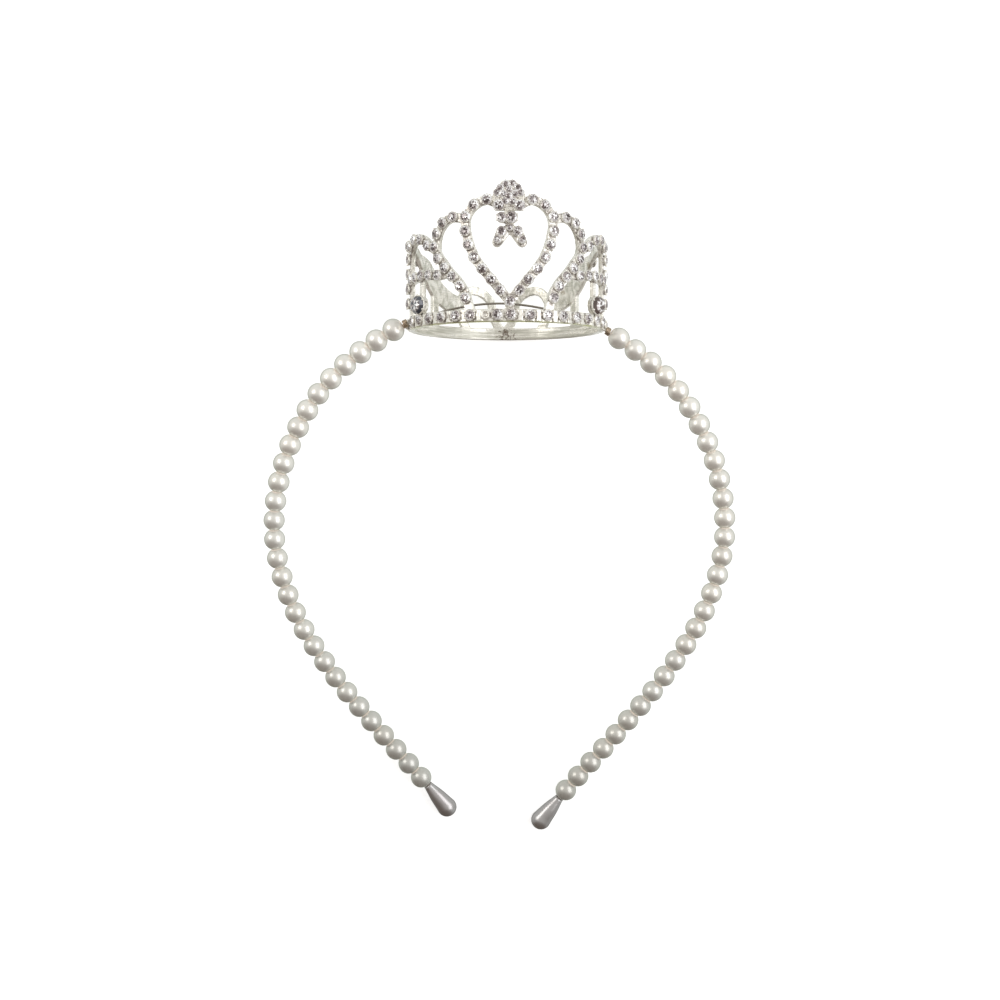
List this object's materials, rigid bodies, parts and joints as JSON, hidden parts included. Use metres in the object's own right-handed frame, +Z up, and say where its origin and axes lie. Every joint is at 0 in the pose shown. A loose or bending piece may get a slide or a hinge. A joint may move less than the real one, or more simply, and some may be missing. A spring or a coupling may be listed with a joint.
{
  "type": "mini crown headband",
  "caption": "Small cast crown set with clear stones, with a heart, scrolls and arches, wired onto a headband of imitation pearls that ends in two teardrop tips.",
  "frame": {"origin": "centre of the bounding box on the surface that the part lies on", "axes": "the part lies on its back: +Y along the way the crown points, away from the headband's two ends; +Z up, out of the crown's front; +X to the right as seen from above with the crown at the top"},
  "size_m": [0.1459, 0.1978, 0.0606],
  "materials": {
    "cast_metal": "bright silver plate over cast zinc alloy",
    "steel_wire": "drawn wire, slightly tarnished",
    "binding_wire": "soft gilt wire",
    "pearl": "pearl coating",
    "tip": "silver-grey pearl coating",
    "clear_stone": "foiled cut glass",
    "side_stone": "foiled cut glass"
  },
  "bodies": {
    "root": {"crown_frame": "cast_metal", "headband_wire": "steel_wire", "pearls_left": "pearl", "pearls_right": "pearl", "tip_left": "tip", "tip_right": "tip", "binding_left": "binding_wire", "binding_right": "binding_wire", "row_stones": "clear_stone", "heart_stones": "clear_stone", "crest_stones": "clear_stone", "bow_stones": "clear_stone", "scroll_stones_left": "clear_stone", "scroll_stones_right": "clear_stone", "arch_stones_left": "clear_stone", "arch_stones_right": "clear_stone", "side_stone_left": "side_stone", "side_stone_right": "side_stone"}
  },
  "joints": []
}
